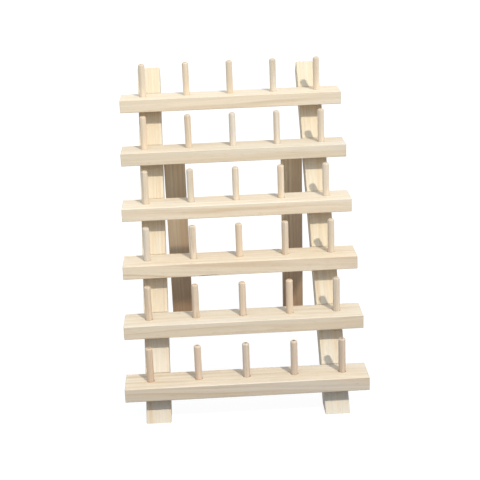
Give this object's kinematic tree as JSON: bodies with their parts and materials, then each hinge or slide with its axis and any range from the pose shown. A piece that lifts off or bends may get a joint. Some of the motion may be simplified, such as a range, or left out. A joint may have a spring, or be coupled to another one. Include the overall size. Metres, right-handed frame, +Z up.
{
  "type": "folding spool rack",
  "caption": "Free-standing wooden thread spool rack: stepped rails of upright pegs on two leaning uprights, with folding back legs.",
  "frame": {"origin": "on the floor, under the middle of the open rack's bounding box", "axes": "+Z up along the pegs, +X along the rails to the right seen from the front, +Y towards the back legs"},
  "size_m": [0.24, 0.2711, 0.3219],
  "materials": {
    "rail_wood": "planed unfinished pine",
    "upright_wood": "planed unfinished pine",
    "leg_wood": "planed unfinished pine",
    "peg_wood": "turned unfinished dowel",
    "zinc_steel": "bright zinc plate"
  },
  "bodies": {
    "frame": {"left_upright": "upright_wood", "right_upright": "upright_wood", "rail_1": "rail_wood", "rail_2": "rail_wood", "rail_3": "rail_wood", "rail_4": "rail_wood", "rail_5": "rail_wood", "rail_6": "rail_wood", "peg_1_1": "peg_wood", "peg_1_2": "peg_wood", "peg_1_3": "peg_wood", "peg_1_4": "peg_wood", "peg_1_5": "peg_wood", "peg_2_1": "peg_wood", "peg_2_2": "peg_wood", "peg_2_3": "peg_wood", "peg_2_4": "peg_wood", "peg_2_5": "peg_wood", "peg_3_1": "peg_wood", "peg_3_2": "peg_wood", "peg_3_3": "peg_wood", "peg_3_4": "peg_wood", "peg_3_5": "peg_wood", "peg_4_1": "peg_wood", "peg_4_2": "peg_wood", "peg_4_3": "peg_wood", "peg_4_4": "peg_wood", "peg_4_5": "peg_wood", "peg_5_1": "peg_wood", "peg_5_2": "peg_wood", "peg_5_3": "peg_wood", "peg_5_4": "peg_wood", "peg_5_5": "peg_wood", "peg_6_1": "peg_wood", "peg_6_2": "peg_wood", "peg_6_3": "peg_wood", "peg_6_4": "peg_wood", "peg_6_5": "peg_wood", "left_pivot_bolt": "zinc_steel", "left_head_washer": "zinc_steel", "left_nut_washer": "zinc_steel", "left_lock_nut": "zinc_steel", "left_screw_1": "zinc_steel", "left_screw_2": "zinc_steel", "left_screw_3": "zinc_steel", "left_screw_4": "zinc_steel", "left_screw_5": "zinc_steel", "left_screw_6": "zinc_steel", "right_pivot_bolt": "zinc_steel", "right_head_washer": "zinc_steel", "right_nut_washer": "zinc_steel", "right_lock_nut": "zinc_steel", "right_screw_1": "zinc_steel", "right_screw_2": "zinc_steel", "right_screw_3": "zinc_steel", "right_screw_4": "zinc_steel", "right_screw_5": "zinc_steel", "right_screw_6": "zinc_steel"},
    "left_leg": {"left_leg": "leg_wood"},
    "right_leg": {"right_leg": "leg_wood"}
  },
  "joints": [
    {"name": "left_leg_fold", "type": "hinge", "parent": "frame", "child": "left_leg", "pos_m": [-0.0645, 0.06612, 0.22187], "axis": [-1, 0, 0], "range_deg": [0, 46]},
    {"name": "right_leg_fold", "type": "hinge", "parent": "frame", "child": "right_leg", "pos_m": [0.0645, 0.06612, 0.22187], "axis": [-1, 0, 0], "range_deg": [0, 46]}
  ]
}
